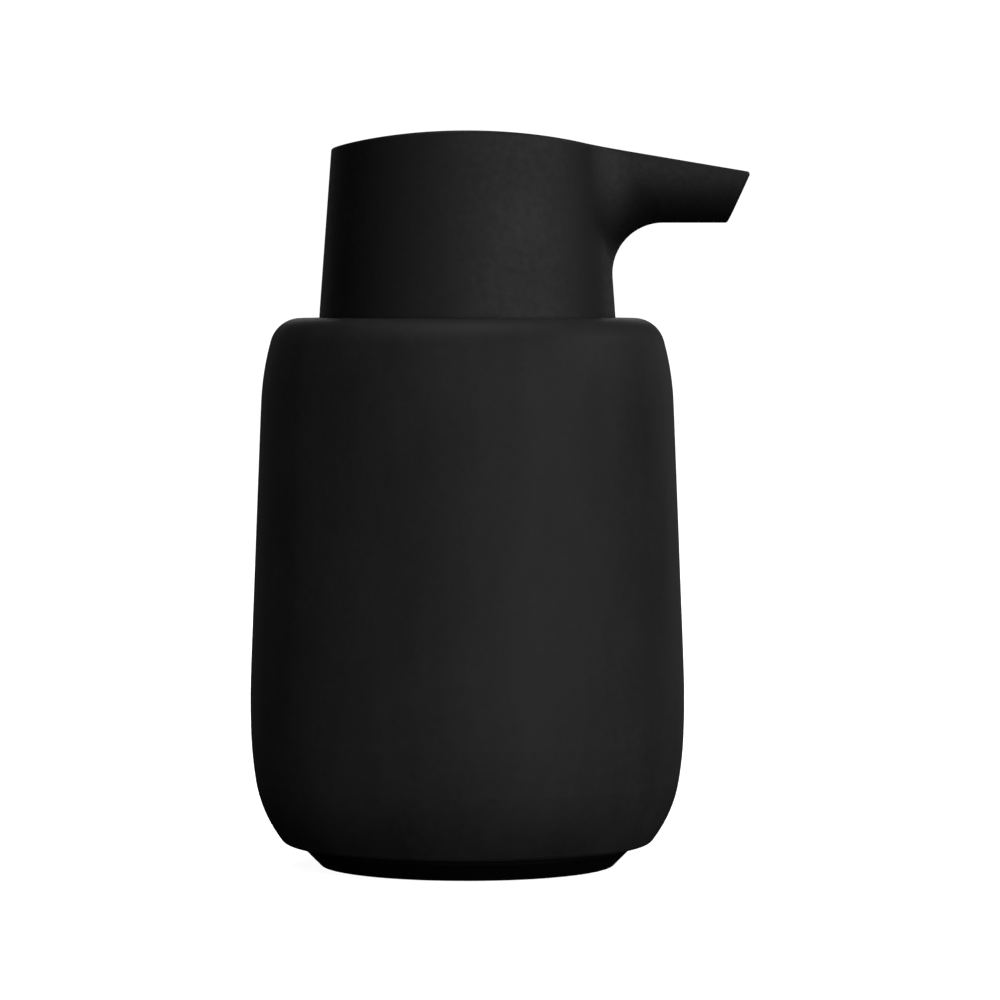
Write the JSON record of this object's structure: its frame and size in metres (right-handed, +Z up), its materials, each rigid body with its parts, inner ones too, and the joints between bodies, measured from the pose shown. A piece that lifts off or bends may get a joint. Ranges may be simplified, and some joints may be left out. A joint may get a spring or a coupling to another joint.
{
  "type": "soap pump dispenser",
  "caption": "Round free-standing soap dispenser: a matt black ceramic vessel with softly rounded edges and a pump head that dives into its top, with a straight beak-like spout.",
  "frame": {"origin": "on the vessel's own axis, at the surface it stands on", "axes": "+Z up; +X the way the spout points at rest; +Y to complete a right-handed set, away from a viewer who sees the spout on the right"},
  "size_m": [0.0984, 0.086, 0.1445],
  "materials": {
    "black_ceramic": "matt black glaze",
    "black_rubber": "matt",
    "black_plastic": "fine matt",
    "black_silicone": "satin",
    "pump_plastic": "natural white, satin",
    "seal_plastic": "soft translucent white",
    "foam": "foamed, matt",
    "tube_plastic": "milky clear",
    "steel": "bright drawn wire and polished balls"
  },
  "bodies": {
    "vessel": {"vessel": "black_ceramic", "foot_ring": "black_rubber"},
    "pump_unit": {"carrier_plug": "black_plastic", "plug_seal": "black_silicone", "neck_gasket": "foam", "pump_housing": "pump_plastic", "stem_guide": "pump_plastic", "closure_nut": "black_plastic", "stem_wiper": "seal_plastic", "ball_retainer": "pump_plastic", "dip_tube": "tube_plastic", "return_spring": "steel"},
    "inlet_ball": {"inlet_ball": "steel"},
    "plunger": {"stem": "pump_plastic", "piston": "seal_plastic", "piston_seat": "pump_plastic"},
    "discharge_ball": {"discharge_ball": "steel"},
    "head": {"head_shell": "black_plastic", "delivery_elbow": "pump_plastic", "delivery_tube": "tube_plastic", "nozzle_tip": "black_plastic", "socket_o_ring": "black_silicone"}
  },
  "joints": [
    {"name": "pump_lift", "type": "slide", "parent": "vessel", "child": "pump_unit", "axis": [0, 0, 1], "range_m": [0, 0.105]},
    {"name": "head_press", "type": "slide", "parent": "pump_unit", "child": "plunger", "axis": [0, 0, -1], "range_m": [0, 0.009], "stiffness_N_per_m": 600, "springref_m": -0.01, "deforming": ["return_spring"]},
    {"name": "head_swivel", "type": "hinge", "parent": "plunger", "child": "head", "pos_m": [0, 0, 0.12], "axis": [0, 0, 1], "continuous": true},
    {"name": "inlet_ball_lift", "type": "slide", "parent": "pump_unit", "child": "inlet_ball", "axis": [0, 0, 1], "range_m": [0, 0.0015]},
    {"name": "discharge_ball_lift", "type": "slide", "parent": "plunger", "child": "discharge_ball", "axis": [0, 0, 1], "range_m": [0, 0.0015]}
  ]
}
